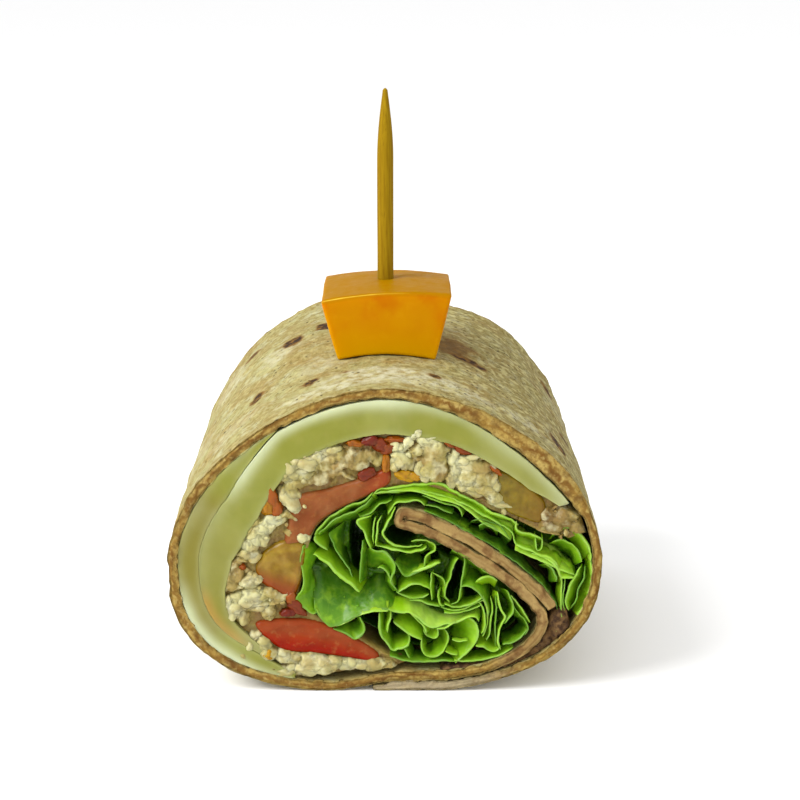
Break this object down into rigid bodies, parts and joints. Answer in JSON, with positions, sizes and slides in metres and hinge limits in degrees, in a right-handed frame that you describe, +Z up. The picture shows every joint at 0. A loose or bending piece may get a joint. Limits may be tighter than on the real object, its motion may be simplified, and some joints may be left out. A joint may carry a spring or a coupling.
{
  "type": "shredded chicken wrap",
  "caption": "Cut piece of a rolled wheat wrap filled with shredded chicken, cheese, tomato, pepper and lettuce, pinned by a toothpick that carries a melon cube.",
  "frame": {"origin": "middle of the flat patch that the wrap rests on, under the toothpick", "axes": "+Z up along the toothpick, Y along the wrap from cut end to cut end (the cut end in view faces -Y), +X to the right of that view"},
  "size_m": [0.0585, 0.05, 0.079],
  "materials": {
    "wheat_tortilla": "matte, dusted with flour, toasted in spots",
    "cheese": "smooth, slightly waxy, lets some light in",
    "tomato": "wet",
    "sweet_pepper": "wet, lets some light in",
    "shredded_chicken": "moist crumbs and shreds",
    "lettuce": "thin leaf, lets light through",
    "orange_melon": "wet, lets light in",
    "bamboo": "smooth bare wood with fine grain"
  },
  "bodies": {
    "root": {"tortilla": "wheat_tortilla", "cheese_slice_long": "cheese", "cheese_slice_left": "cheese", "tomato_slice_upper": "tomato", "tomato_slice_lower": "tomato", "pepper_strip_left": "sweet_pepper", "pepper_strip_right": "sweet_pepper", "chicken_top": "shredded_chicken", "chicken_left": "shredded_chicken", "chicken_low": "shredded_chicken", "chicken_right": "shredded_chicken", "lettuce_outer_leaf": "lettuce", "lettuce_heart": "lettuce", "melon_cube": "orange_melon", "toothpick": "bamboo"}
  },
  "joints": []
}
